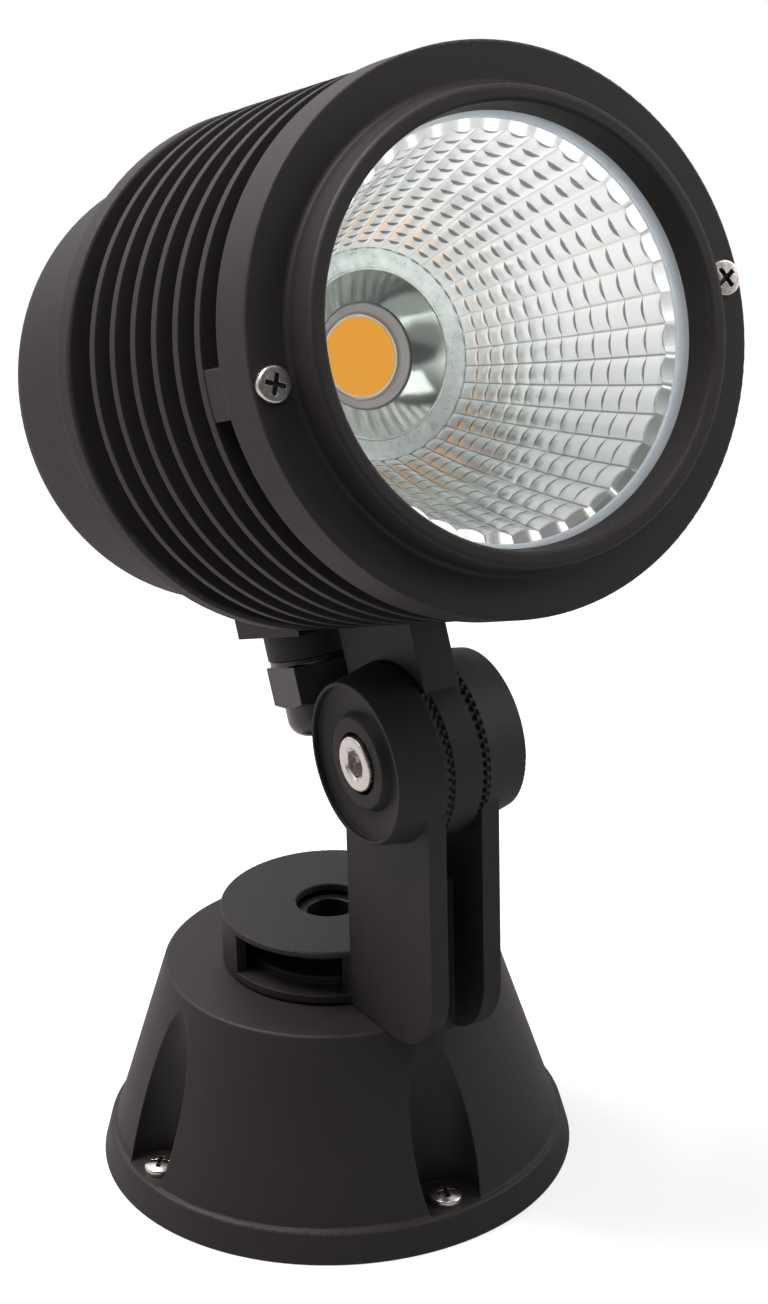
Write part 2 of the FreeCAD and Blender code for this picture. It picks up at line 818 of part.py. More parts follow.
seal_groove = turned([
    (turntable_radius + 1.0, canopy_height - 1.0),
    (turntable_radius + 3.0, canopy_height - 1.0),
    (turntable_radius + 3.0, canopy_height + 1),
    (turntable_radius + 1.0, canopy_height + 1),
])
screw_holes = [
    rod(m4_radius + seat_gap, 0, flange_height + 1, x, y) for x, y, turn in screw_spots
]
canopy = drilled(canopy, [stem_hole, stop_hole, seal_groove] + screw_holes)
export("canopy", canopy)

swivel_seal = turned([
    (turntable_radius + 1.05, canopy_height - 1.0),
    (turntable_radius + 2.95, canopy_height - 1.0),
    (turntable_radius + 2.95, canopy_height + 0.15, 0.3),
    (turntable_radius + 1.05, canopy_height + 0.15, 0.3),
])
export("swivel_seal", swivel_seal)

# ---- swivel stem and what holds it -----------------------------------------------------------
nut_level = turntable_top + moving_gap + washer_thickness
stem_top = nut_level + stem_nut_height + 0.8
stem_foot = roof_under - stem_nut_height - 3
stem = turned([
    (stem_bore, stem_foot, 0.5),
    (stem_radius, stem_foot, 0.5),
    (stem_radius, stem_top, 0.5),
    (stem_bore, stem_top, 0.5),
])
export("swivel_stem", stem)


def stem_nut(low):
    nut = hexagon(stem_nut_width, low, low + stem_nut_height)
    return nut.cut(rod(stem_radius + thread_gap, low - 1, low + stem_nut_height + 1))


export("stem_nut", stem_nut(roof_under - stem_nut_height))
export("swivel_nut", stem_nut(nut_level))
washer_level = turntable_top + moving_gap
swivel_washer = rod(washer_radius, washer_level, nut_level).cut(
    rod(stem_radius + thread_gap, washer_level - 1, nut_level + 1)
)
export("swivel_washer", swivel_washer)
stop_pin_top = bracket_floor + stop_groove_depth - moving_gap
stop_pin = rod(stop_pin_radius, canopy_height - pin_hole_depth, stop_pin_top, 0, stop_circle)
export("stop_pin", stop_pin)

# ---- base plate, gasket, screws, terminal block and earth screw -----------------------------
base_plate = turned([
    (cable_entry_radius, 0),
    (base_plate_radius, 0, 0.5),
    (base_plate_radius, base_plate_thickness, 0.5),
    (cable_entry_radius, base_plate_thickness),
])
plate_holes = [
    rod(m4_radius + thread_gap, -1, base_plate_thickness + 1, x, y) for x, y, turn in screw_spots
]
mount_spots = on_circle(mount_hole_circle, mount_hole_count, 45)
plate_holes += [
    rod(mount_hole_radius, -1, base_plate_thickness + 1, x, y) for x, y, turn in mount_spots
]
earth_spot = (cable_entry_radius + 12, 8)
plate_holes.append(rod(m4_radius + thread_gap, -1, base_plate_thickness + 1, *earth_spot))
base_plate = drilled(base_plate, plate_holes)
export("base_plate", base_plate)

base_gasket = turned([
    (base_gasket_bore, base_plate_thickness),
    (base_plate_radius, base_plate_thickness),
    (base_plate_radius, canopy_floor),
    (base_gasket_bore, canopy_floor),
])
base_gasket = drilled(base_gasket, [
    rod(m4_radius + seat_gap, 0, canopy_floor + 1, x, y) for x, y, turn in screw_spots
])
export("base_gasket", base_gasket)

base_screw_length = flange_height - 0.8
base_screws = [
    at(pan_screw(base_screw_length), x, y, flange_height) for x, y, turn in screw_spots
]
export("base_screws", Part.makeCompound(base_screws))

block_back = -cable_entry_radius - 4
terminal_length = 30.0
terminal_depth = 14.0
terminal_height = 16.0
terminal_ways = 3
terminal = block(
    -terminal_length / 2,
    terminal_length / 2,
    block_back - terminal_depth,
    block_back,
    base_plate_thickness,
    base_plate_thickness + terminal_height,
)
way_pitch = terminal_length / terminal_ways
terminal_holes = []
for i in range(terminal_ways):
    x = -terminal_length / 2 + way_pitch * (i + 0.5)
    centre = block_back - terminal_depth / 2
    top = base_plate_thickness + terminal_height
    terminal_holes.append(rod(2.2, top - 6, top + 1, x, centre))
    terminal_holes.append(Part.makeCylinder(
        2.0, terminal_depth + 2, Vector(x, block_back - terminal_depth - 1, top - 9), Vector(0, 1, 0)
    ))
terminal = drilled(terminal, terminal_holes)
export("terminal_block", terminal)

earth_screw = at(pan_screw(base_plate_thickness - 0.2), *earth_spot, base_plate_thickness)
export("earth_screw", earth_screw)
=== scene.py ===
import math
import bmesh
import bpy
import numpy as np
from mathutils import Matrix, Vector


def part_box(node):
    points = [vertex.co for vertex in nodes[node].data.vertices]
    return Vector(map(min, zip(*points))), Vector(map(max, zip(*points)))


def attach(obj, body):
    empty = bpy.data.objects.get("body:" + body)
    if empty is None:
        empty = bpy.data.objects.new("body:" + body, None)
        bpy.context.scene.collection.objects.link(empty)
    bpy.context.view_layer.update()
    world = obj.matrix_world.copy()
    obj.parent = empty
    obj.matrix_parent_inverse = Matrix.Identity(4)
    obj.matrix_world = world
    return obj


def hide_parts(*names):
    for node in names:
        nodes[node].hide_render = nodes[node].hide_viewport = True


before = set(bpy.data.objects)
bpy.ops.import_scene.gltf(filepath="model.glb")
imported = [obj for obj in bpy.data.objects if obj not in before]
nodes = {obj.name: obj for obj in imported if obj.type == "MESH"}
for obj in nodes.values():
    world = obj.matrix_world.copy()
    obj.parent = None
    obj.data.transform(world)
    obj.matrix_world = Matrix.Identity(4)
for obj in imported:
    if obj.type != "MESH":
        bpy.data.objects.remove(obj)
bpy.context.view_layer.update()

# Garden spotlight on a canopy base. Metres, +Z up. The castings come from the frame, and this
# script dresses them: finishes, the faceted reflector, the light source, screws and studio.

mm = 0.001

lamp = {
    "tilt": 21.8,              # lamp axis above the horizontal, degrees
    "pivot": (0.0, -41.4, 124.0),
    "armLength": 88.4,         # lamp axis above the pivot bolt
    "armSetback": 75.0,        # pivot bolt behind the bezel's face
}
weld = 1e-4                    # points nearer than this are one, mm
noiseSpan = (0.3, 0.7)         # values that a noise mostly stays between


# small helpers
def toLinear(hexColour):
    # sRGB hex to linear RGBA
    parts = [int(hexColour[i:i + 2], 16) / 255 for i in (1, 3, 5)]
    line = [c / 12.92 if c <= 0.04045 else ((c + 0.055) / 1.055) ** 2.4 for c in parts]
    return (*line, 1.0)


def addNode(tree, kind, inputs=(), **settings):
    # adds a node: settings are its properties, inputs its values or the sockets that feed it,
    # by name or in order. A node given as an input stands for its first output
    node = tree.nodes.new("ShaderNode" + kind)
    for name, value in settings.items():
        setattr(node, name, value)
    byName = inputs if isinstance(inputs, dict) else dict(enumerate(inputs))
    for name, value in byName.items():
        if isinstance(value, bpy.types.Node):
            value = value.outputs[0]
        if isinstance(value, bpy.types.NodeSocket):
            tree.links.new(value, node.inputs[name])
        else:
            node.inputs[name].default_value = value
    return node


def lampMatrix():
    # lamp frame to world: x across, y up, z out of the glass, origin on the bezel's face
    turn = Matrix.Rotation(math.radians(90 - lamp["tilt"]), 4, "X")
    arm = Vector((0, -lamp["armLength"], -lamp["armSetback"]))
    origin = Vector(lamp["pivot"]) - turn.to_3x3() @ arm
    return Matrix.Translation(origin * mm) @ turn @ Matrix.Scale(mm, 4)


lampPlace = lampMatrix()


def rounded(corners, steps=5):
    # open profile through (a, b) or (a, b, radius) corners, each radius an arc of that size
    points = []
    for i, corner in enumerate(corners):
        here = np.array(corner[:2], float)
        if len(corner) < 3:
            points.append(here)
            continue
        back = np.array(corners[i - 1][:2], float) - here
        on = np.array(corners[(i + 1) % len(corners)][:2], float) - here
        back /= np.linalg.norm(back)
        on /= np.linalg.norm(on)
        half = math.acos(np.clip(back @ on, -1, 1)) / 2
        middle = (back + on) / np.linalg.norm(back + on)
        centre = here + middle * corner[2] / math.sin(half)
        first = here + back * corner[2] / math.tan(half) - centre
        last = here + on * corner[2] / math.tan(half) - centre
        spread = math.pi - 2 * half
        for turn in np.linspace(0, spread, steps):
            arc = (first * math.sin(spread - turn) + last * math.sin(turn)) / math.sin(spread)
            points.append(centre + arc)
    return np.array(points)


def gridMesh(name, grid, loopU=True, loopV=True):
    # quads over a (rows, columns, 3) array of points; a looped side joins its last to its first
    rows, columns = grid.shape[:2]
    index = np.arange(rows * columns).reshape(rows, columns)
    if loopU:
        index = np.vstack([index, index[:1]])
    if loopV:
        index = np.hstack([index, index[:, :1]])
    corners = (index[:-1, :-1], index[:-1, 1:], index[1:, 1:], index[1:, :-1])
    quads = np.stack([c.ravel() for c in corners], axis=1)
    mesh = bpy.data.meshes.new(name)
    mesh.from_pydata(grid.reshape(-1, 3).tolist(), [], quads.tolist())
    work = bmesh.new()
    work.from_mesh(mesh)
    bmesh.ops.remove_doubles(work, verts=work.verts, dist=weld)
    bmesh.ops.dissolve_degenerate(work, edges=work.edges, dist=weld / 10)
    bmesh.ops.recalc_face_normals(work, faces=work.faces)
    work.to_mesh(mesh)
    work.free()
    return mesh


def turnedGrid(profile, segments):
    # (radius, height) profile carried round Z: x = r cos a, y = r sin a, z = h
    angle = np.linspace(0, 2 * math.pi, segments, endpoint=False)
    radius, height = profile[:, 0][:, None], profile[:, 1][:, None]
    return np.stack([
        radius * np.cos(angle), radius * np.sin(angle), height + 0 * angle], axis=2)


def circle(across, up, radius, sides):
    # closed profile: a circle of that radius about (across, up)
    angle = np.linspace(0, 2 * math.pi, sides, endpoint=False)
    return np.stack([across + radius * np.cos(angle), up + radius * np.sin(angle)], axis=1)


def addPiece(name, mesh, place, material, body, crease=35, replaced=()):
    # a finished piece: its place goes into the mesh, so the object stays at the origin
    mesh.transform(place)
    mesh.polygons.foreach_set("use_smooth", np.ones(len(mesh.polygons), bool))
    mesh.set_sharp_from_angle(angle=math.radians(crease))
    mesh.materials.append(material)
    piece = bpy.data.objects.new(name, mesh)
    bpy.context.scene.collection.objects.link(piece)
    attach(piece, body)
    if replaced:
        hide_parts(*replaced)
    return piece


def joinMeshes(name, meshes):
    # one mesh of several, each already where it belongs
    work = bmesh.new()
    for mesh in meshes:
        work.from_mesh(mesh)
    joined = bpy.data.meshes.new(name)
    work.to_mesh(joined)
    work.free()
    return joined


# materials
def newMaterial(name, **values):
    # a material with one Principled shader, its plain values set on the shader's own sockets
    made = bpy.data.materials.new(name)
    made.use_nodes = True
    tree = made.node_tree
    tree.nodes.clear()
    shader = addNode(tree, "BsdfPrincipled", values)
    addNode(tree, "OutputMaterial", [shader])
    return made, tree, shader


def lampSpace(tree):
    # object coordinates turned into the lamp's own frame, in metres: z along its axis. Gives
    # x, y and z as one node's outputs, and the distance from the axis
    back = lampPlace.to_3x3().normalized().inverted()
    turned = addNode(tree, "Mapping", {
        "Vector": addNode(tree, "TexCoord").outputs["Object"],
        "Rotation": (math.radians(lamp["tilt"] - 90), 0, 0),
        "Location": tuple(-(back @ lampPlace.translation))})
    split = addNode(tree, "SeparateXYZ", [turned])
    flat = addNode(tree, "CombineXYZ", split.outputs[:2])
    reach = addNode(tree, "VectorMath", [flat], operation="LENGTH")
    return split, reach.outputs["Value"]


def mottle(tree, shader, size, colours, roughness=None, detail=4, harsh=0.6, span=None):
    # clouds of that many millimetres: in them the shade drifts between two colours, over a
    # span of the clouds' values if one is given, and the gloss between two roughnesses
    where = addNode(tree, "TexCoord").outputs["Object"]
    cloud = addNode(tree, "TexNoise", {
        "Vector": where, "Scale": 1 / (size * mm), "Detail": detail, "Roughness": harsh})
    share = addNode(tree, "MapRange", (cloud, *span, 0.0, 1.0)) if span else cloud
    first, second = (toLinear(c) for c in colours)
    shade = addNode(tree, "Mix", {0: share, 6: first, 7: second}, data_type="RGBA").outputs[2]
    tree.links.new(shade, shader.inputs["Base Color"])
    if roughness:
        gloss = addNode(tree, "MapRange", (cloud, *noiseSpan, *roughness))
        tree.links.new(gloss.outputs[0], shader.inputs["Roughness"])
    return cloud, shade


def relief(tree, shader, height, strength, depth, edge=0):
    # a pattern raised by that depth in mm, over edges shaded as rounded to a radius in mm
    raised = addNode(tree, "Bump", {
        "Height": height, "Strength": strength, "Distance": depth * mm})
    tree.links.new(raised.outputs[0], shader.inputs["Normal"])
    if edge:
        soft = addNode(tree, "Bevel", {"Radius": edge * mm}, samples=4)
        tree.links.new(soft.outputs[0], raised.inputs["Normal"])
        return soft


coat = {
    "colours": ("#1b1819", "#211e1f"),
    "worn": "#322e2f",         # along the edges, where powder draws back
    "wear": (0.99, 0.8, 0.0, 0.8),     # edge's softness from and to, and how worn it is there
    "specular": 0.25,
    "roughness": (0.5, 0.64),
    "cloud": 16,               # patches of shade, mm
    "grain": 0.5,              # sandy texture, mm: coarser than the real 0.15 so that it shows
    "relief": 0.12,            # height of the grain, mm
    "strength": 0.3,
    "edge": 0.45,              # radius of the casting's edges, mm
    "toolMark": 0.7,           # spacing of the turning marks under the powder, mm
    "toolShare": 0.8,          # their height, share of the grain's
}


def powderCoat(name, turned=False):
    # textured polyester powder on die-cast aluminium, sprayed and baked: charcoal and nearly
    # matt, with a sandy grain, thinner and paler along the casting's edges
    made, tree, shader = newMaterial(name, **{
        "Metallic": 0.0, "IOR": 1.5, "Specular IOR Level": coat["specular"]})
    where = addNode(tree, "TexCoord").outputs["Object"]
    grain = addNode(tree, "TexNoise", {
        "Vector": where, "Scale": 1 / (coat["grain"] * mm), "Detail": 3, "Roughness": 0.6})
    gloss = addNode(tree, "MapRange", (grain, *noiseSpan, *coat["roughness"]))
    tree.links.new(gloss.outputs[0], shader.inputs["Roughness"])
    height = grain
    if turned:
        # marks of the lathe under the powder run round the lamp's axis
        split, reach = lampSpace(tree)
        across = addNode(tree, "CombineXYZ", (reach, split.outputs[2]))
        marks = addNode(tree, "TexNoise", {
            "Vector": across, "Scale": 1 / (coat["toolMark"] * mm), "Detail": 3,
            "Roughness": 0.7})
        height = addNode(
            tree, "Math", (marks, coat["toolShare"], grain), operation="MULTIPLY_ADD")
    soft = relief(tree, shader, height, coat["strength"], coat["relief"], coat["edge"])
    hard = addNode(tree, "NewGeometry").outputs["Normal"]
    near = addNode(tree, "VectorMath", (soft, hard), operation="DOT_PRODUCT")
    worn = addNode(tree, "MapRange", (near.outputs["Value"], *coat["wear"]))
    cloud, shade = mottle(tree, shader, coat["cloud"], coat["colours"])
    shown = addNode(
        tree, "Mix", {0: worn, 6: shade, 7: toLinear(coat["worn"])}, data_type="RGBA")
    tree.links.new(shown.outputs[2], shader.inputs["Base Color"])
    return made


def stainless():
    # turned A2 stainless steel: bright and slightly warm, with turning marks, which are drawn
    # coarser than the real 0.1 mm so that they show
    made, tree, shader = newMaterial("stainlessSteel", **{"Metallic": 1.0})
    marks, shade = mottle(tree, shader, 1.2, ("#BDB9B6", "#D8D5D2"), (0.2, 0.32))
    relief(tree, shader, marks, strength=0.1, depth=0.05, edge=0.12)
    return made


def mirrorFilm(name, colours, roughness):
    # vacuum-metallised polycarbonate: a bright mirror with a faint haze
    made, tree, shader = newMaterial(name, **{"Metallic": 1.0})
    haze, shade = mottle(tree, shader, 3.0, colours, roughness, detail=3, harsh=0.55)
    return made, tree, shader, shade


def cupMirror():
    # the film on the inner cup, over a mould that left it faintly wavy
    made, tree, shader, shade = mirrorFilm("metallisedCup", ("#7C837F", "#90978F"), (0.08, 0.13))
    where = addNode(tree, "TexCoord").outputs["Object"]
    wave = addNode(tree, "TexNoise", {
        "Vector": where, "Scale": 1 / (1.6 * mm), "Detail": 2, "Roughness": 0.5})
    relief(tree, shader, wave, strength=0.06, depth=0.05)
    return made


def satinMirror():
    # the same metal film over a blasted part of the mould: soft grey, faintly mottled
    made, tree, shader = newMaterial("metallisedSatin", **{"Metallic": 1.0})
    cloud, shade = mottle(
        tree, shader, 3.0, ("#98A09C", "#C4CAC6"), (0.24, 0.38), span=(0.25, 0.75))
    relief(tree, shader, cloud, strength=0.1, depth=0.1)
    return made


def clearGlass():
    # toughened soda-lime glass: clear and colourless, a mirror only at a glancing angle
    made, tree, shader = newMaterial("toughenedGlass", **{
        "Roughness": 0.0, "IOR": 1.45, "Transmission Weight": 1.0})
    mottle(tree, shader, 20, ("#FCFDFD", "#FEFEFE"), detail=2, harsh=0.5)
    return made


def phosphor():
    # phosphor in clear silicone over the diodes: an opaque yellow-orange gel with a soft gloss.
    # Its glow is painted light, for the light that the reflector gathers onto it.
    made, tree, shader = newMaterial("phosphorGel", **{
        "IOR": 1.41, "Roughness": 0.35, "Specular IOR Level": 0.05,
        "Emission Color": toLinear("#F7A408"), "Emission Strength": 0.56})
    mottle(tree, shader, 2.2, ("#A8700A", "#AE780E"))
    return made


def plain(name, first, second, size, roughness, metallic=0.0, ior=1.5, grain=0.0, depth=0.05):
    # a moulded or stamped finish: two near colours in a cloud of that size, and a fine grain
    made, tree, shader = newMaterial(name, **{"Metallic": metallic, "IOR": ior})
    mottle(tree, shader, size, (first, second), (roughness - 0.05, roughness + 0.05))
    if grain:
        where = addNode(tree, "TexCoord").outputs["Object"]
        fine = addNode(tree, "TexNoise", {
            "Vector": where, "Scale": 1 / (grain * mm), "Detail": 3, "Roughness": 0.6})
        relief(tree, shader, fine, strength=0.3, depth=depth, edge=0.3)
    return made


coatFinish = powderCoat("powderCoat")
turnedFinish = powderCoat("powderCoatTurned", turned=True)
steelFinish = stainless()
cupFinish = cupMirror()
satinFinish = satinMirror()
glassFinish = clearGlass()
phosphorFinish = phosphor()
# moulded silicone: pale blue grey and satin; the white kind is a bead laid from a nozzle
siliconeFinish = plain("paleSilicone", "#DAE3EA", "#E4EBF0", 5, 0.5, ior=1.41)
damFinish = plain("whiteSilicone", "#D3D6CF", "#DDDFD8", 1, 0.4, ior=1.41)
# moulded EPDM rubber: dull black
rubberFinish = plain("blackRubber", "#161516", "#1C1B1C", 3, 0.6, grain=0.4)
# moulded nylon: black with some gloss, or off-white and satin
nylonFinish = plain("blackNylon", "#0B0A0B", "#100F10", 4, 0.28, grain=0.8, depth=0.02)
terminalFinish = plain("whiteNylon", "#DEDCD5", "#E8E6E0", 4, 0.45)
# moulded glass-filled resin: greyish beige
resinFinish = plain("beigeResin", "#9B9A98", "#A3A29F", 2, 0.45)
# painted shade: stainless steel made dark inside the cross recess, where shade falls
recessShadeFinish = plain("recessShadeSteel", "#2B2A2A", "#3A3838", 0.8, 0.5, metallic=0.7)
# bare rolled aluminium: light and satin
boardFinish = plain("bareAluminium", "#B9BBBC", "#C9CBCB", 2, 0.35, metallic=1.0)
# filled silicone pad: mid grey and dull
padFinish = plain("greyThermalPad", "#7B7F82", "#888C8E", 2, 0.7)
# moulded polycarbonate: off-white with a fine grain
driverFinish = plain("driverCasePlastic", "#D9D9D4", "#E2E2DD", 6, 0.5, grain=0.6)
# plated steel: bluish and bright, or passivated nearly black
zincFinish = plain("zincPlatedSteel", "#A9ADAE", "#BFC2C2", 5, 0.32, metallic=1.0)
blackZincFinish = plain("blackZincSteel", "#1B1A1B", "#252425", 3, 0.45, metallic=0.6)
# turned brass: warm yellow
brassFinish = plain("brass", "#B8923F", "#C8A24C", 3, 0.3, metallic=1.0)

finishes = {
    "front_bezel": turnedFinish, "finned_body": coatFinish, "rear_housing": coatFinish,
    "swivel_bracket": coatFinish, "canopy": coatFinish,
    "bezel_screws": steelFinish, "rear_screws": steelFinish, "pivot_bolt": steelFinish,
    "pivot_nut": steelFinish, "pivot_washer": steelFinish, "base_screws": steelFinish,
    "stop_pin": steelFinish, "driver_screws": zincFinish,
    "front_glass": glassFinish, "glass_gasket": siliconeFinish, "reflector": satinFinish,
    "reflector_cup": satinFinish, "thermal_pad": padFinish, "led_board": boardFinish,
    "led_emitter": phosphorFinish, "led_holder": resinFinish, "rear_seal": rubberFinish,
    "swivel_seal": rubberFinish, "base_gasket": rubberFinish, "led_driver": driverFinish,
    "gland_body": nylonFinish, "gland_nut": nylonFinish, "gland_seal": rubberFinish,
    "swivel_stem": blackZincFinish, "stem_nut": blackZincFinish, "swivel_nut": blackZincFinish,
    "swivel_washer": blackZincFinish, "base_plate": zincFinish,
    "terminal_block": terminalFinish, "earth_screw": brassFinish,
}
for name, node in nodes.items():
    node.data.materials.clear()
    node.data.materials.append(finishes[name])
print("finishes on", len(nodes), "nodes")

# faceted reflector
reflector = {
    "columns": 40,
    "rows": 13,
    "steps": (0, 0.05, 0.12, 0.3, 0.5, 0.7, 0.88, 0.95),   # across one facet
    "rim": 42.4,
    "throat": 23.6,
    "depth": 57.2,
    "rimLevel": -5.4,
    "flangeFace": -4.6,
    "flangeBore": 44.2,        # where the flange is flat, under the gasket
    "floor": -65.5,
    "flangeReach": 45.6,
    "wall": 1.6,
    "flange": 1.8,
    "waist": (0.8, 0.55),      # back of the wall halfway, shares of the rim and the depth
    "crown": 0.75,             # how far a facet bulges inward across a column at the rim
    "crownFall": 1.4,          # power of the radius by which that shrinks down the cone
    "rowCrown": 0.09,          # and how far it bulges along the column
}
# the cone is the parabola r^2 = throat^2 + parabola (z + depth)
parabola = (reflector["rim"] ** 2 - reflector["throat"] ** 2) / (
    reflector["depth"] + reflector["rimLevel"])

# heights are shares of the distance from the axis, -1 at the bottom and 1 at the top. Rows of
# four give two values of what they follow, and their own value at each
film = {
    "colours": ("#F3F3F2", "#FAFAF9"),
    "lowShadeColour": "#DDE0DE",
    "lowShadeFade": (-0.6, 0.3, 0.0, 1.0),          # painted shade, darker towards the bottom: by the height
    "paintedShadeColour": "#5E6362",                  # painted shade: dark reflections and crease shade at the joints
    "roughness": (0.1, 0.16),
    "mirrored": 0.65,                          # share of the light; the film scatters the rest
    "markWidth": (-0.1, 0.75, 0.15, 0.36),     # painted dark reflection between rows, half width by the height
    "markStart": (0.0, 0.6, 0.0, 0.25),        # where across its column it starts, likewise
    "markFull": 0.7,                           # and where it is full
    "markEdge": (0.6, 1.15, 1.0, 0.0),         # how it fades, by shares of its half width
    "markShade": 0.9,
    "lineEdge": (0.05, 0.11, 1.0, 0.0),        # painted crease shade between columns, by shares of a column
    "lineShade": (0.2, -0.3, 0.2, 0.7),         # by the height
    "flangeDark": 0.4,
    "flangeFade": 0.3,                         # mm
    "shineWay": (0.75, 0.65),                  # to the bright of the room: across and up
    "shine": (0.0, 0.8, 0.0, 0.4),             # by the nearness to that way
}


def facetMirror():
    # the metallised mirror, with painted shade and painted dark reflections at its facets'
    # joints. Columns are counted by the angle, rows by the radius from the depth z: r =
    # sqrt(throat^2 + (z + depth) parabola)
    f, r = film, reflector
    made, tree, shader, shade = mirrorFilm("metallisedFacets", f["colours"], f["roughness"])
    shader.inputs["Metallic"].default_value = f["mirrored"]
    split, reach = lampSpace(tree)
    x, y, depth = split.outputs
    square = addNode(tree, "Math", (
        depth, parabola / mm, r["throat"] ** 2 + r["depth"] * parabola),
        operation="MULTIPLY_ADD")
    radius = addNode(tree, "Math", [square], operation="SQRT")
    span = r["rows"] / (r["rim"] - r["throat"])
    rows = addNode(tree, "Math", (radius, -span, r["rim"] * span), operation="MULTIPLY_ADD")
    angle = addNode(tree, "Math", (y, x), operation="ARCTAN2")
    columns = addNode(tree, "Math", (
        angle, r["columns"] / (2 * math.pi), r["columns"]), operation="MULTIPLY_ADD")
    # distance to the nearest joint, 0 on it and 1 in the middle of the facet
    toJoint = []
    for count in (rows, columns):
        part = addNode(tree, "Math", [count], operation="FRACT")
        double = addNode(tree, "Math", (part, 2.0), operation="MULTIPLY")
        toJoint.append(addNode(tree, "Math", (double, 1.0), operation="PINGPONG"))
    toRow, toColumn = toJoint
    height = addNode(tree, "Math", (y, reach), operation="DIVIDE")
    # the painted dark reflection between rows is a lens, widest in the middle of its column
    wide = addNode(tree, "MapRange", (height, *f["markWidth"]))
    start = addNode(tree, "MapRange", (height, *f["markStart"]))
    middle = addNode(tree, "MapRange", (toColumn, start, f["markFull"], 0.0, 1.0))
    lens = addNode(tree, "Math", (wide, middle), operation="MULTIPLY")
    lens = addNode(tree, "Math", (lens, 0.001), operation="ADD")
    nearMark = addNode(tree, "Math", (toRow, lens), operation="DIVIDE")
    mark = addNode(tree, "MapRange", (nearMark, *f["markEdge"]))
    mark = addNode(tree, "Math", (mark, f["markShade"]), operation="MULTIPLY")
    line = addNode(tree, "MapRange", (toColumn, *f["lineEdge"]))
    lineShade = addNode(tree, "MapRange", (height, *f["lineShade"]))
    line = addNode(tree, "Math", (line, lineShade), operation="MULTIPLY")
    paintedDark = addNode(tree, "Math", (mark, line), operation="MAXIMUM")
    # the flange past the facets takes a share of the dark colour all over
    flange = addNode(tree, "MapRange", (
        depth, (r["rimLevel"] - f["flangeFade"]) * mm, r["rimLevel"] * mm, 0.0, 1.0))
    paintedDark = addNode(tree, "Mix", {0: flange, 2: paintedDark, 3: f["flangeDark"]})
    # painted shade: the film is darker towards the bottom
    low = addNode(tree, "MapRange", (height, *f["lowShadeFade"]))
    shade = addNode(
        tree, "Mix", {0: low, 6: toLinear(f["lowShadeColour"]), 7: shade}, data_type="RGBA")
    # painted shade and painted reflections: the joints take the dark colour
    shade = addNode(
        tree, "Mix", {0: paintedDark, 6: shade.outputs[2], 7: toLinear(f["paintedShadeColour"])},
        data_type="RGBA").outputs[2]
    tree.links.new(shade, shader.inputs["Base Color"])
    # painted light: the cone gathers more daylight than a few bounces carry, so its film glows a
    # little, most on the side that faces the bright of the room
    up = addNode(tree, "Math", (y, f["shineWay"][1]), operation="MULTIPLY")
    facing = addNode(tree, "Math", (x, f["shineWay"][0], up), operation="MULTIPLY_ADD")
    facing = addNode(tree, "Math", (facing, reach), operation="DIVIDE")
    shine = addNode(tree, "MapRange", (facing, *f["shine"]))
    tree.links.new(shade, shader.inputs["Emission Color"])
    tree.links.new(shine.outputs[0], shader.inputs["Emission Strength"])
    return made


def reflectorGrid():
    # the parabola carried round the axis; each facet is pushed along the inward normal by
    # crown (1 - s^2) + rowCrown (1 - t^2), with s and t from -1 to 1 across it
    r = reflector
    steps = np.array(r["steps"])
    across = (np.arange(r["columns"])[:, None] + steps).ravel()
    along = np.append((np.arange(r["rows"])[:, None] + steps).ravel(), r["rows"])
    s = 2 * (across % 1) - 1
    t = 2 * (along % 1) - 1
    half = math.pi / r["columns"]
    angle = 2 * half * np.floor(across) + half + np.arctan(s * math.tan(half))
    chord = math.cos(half) / np.cos(np.arctan(s * math.tan(half)))
    radius = r["rim"] + (r["throat"] - r["rim"]) * along / r["rows"]
    level = -r["depth"] + (radius ** 2 - r["throat"] ** 2) / parabola
    lean = 2 * radius / parabola
    push = (r["crown"] * (radius / r["rim"]) ** r["crownFall"])[:, None] * (1 - s ** 2)
    push = push + r["rowCrown"] * (1 - t ** 2)[:, None]
    inward = (lean / np.sqrt(1 + lean ** 2))[:, None]
    rise = (1 / np.sqrt(1 + lean ** 2))[:, None]
    rings = radius[:, None] * chord - push * inward
    heights = level[:, None] + push * rise
    back = np.array([
        (r["throat"], r["floor"]), (r["throat"] + r["wall"], r["floor"]),
        (r["throat"] + r["wall"], -r["depth"]),
        (r["rim"] * r["waist"][0], -r["depth"] * r["waist"][1]),
        (r["rim"] + r["wall"], r["flangeFace"] - r["flange"]),
        (r["flangeReach"], r["flangeFace"] - r["flange"]), (r["flangeReach"], r["flangeFace"]),
        (r["flangeBore"], r["flangeFace"])])
    rings = np.vstack([rings, np.repeat(back[:, :1], len(angle), 1)])
    heights = np.vstack([heights, np.repeat(back[:, 1:], len(angle), 1)])
    return np.stack([rings * np.cos(angle), rings * np.sin(angle), heights], axis=2)


addPiece(
    "facetedReflector", gridMesh("facetedReflector", reflectorGrid()), lampPlace,
    facetMirror(), "head", crease=12, replaced=("reflector",))
print("faceted reflector")

# inner cup round the light source: polished bowl, rolled ring, satin band out to the reflector
cup = {
    "segments": 128,
    "rings": 14,               # up the bowl
    "throat": 12.0,
    "mouth": 18.6,
    "floor": -61.2,
    "lip": -57.6,
    "wall": 0.8,
    "dish": 0.2,               # share of the bowl's height that its curve takes
    "ringRadius": 0.35,        # rolled ring at the bowl's mouth
    "ringShift": 0.1,          # its middle, out and up from the lip
    "ringSides": 12,
    "reach": 23.4,
    "brim": 0.25,              # how far the band rises to its outer edge, and to its middle
    "brimMiddle": 0.05,
    "brimRound": 0.2,
}


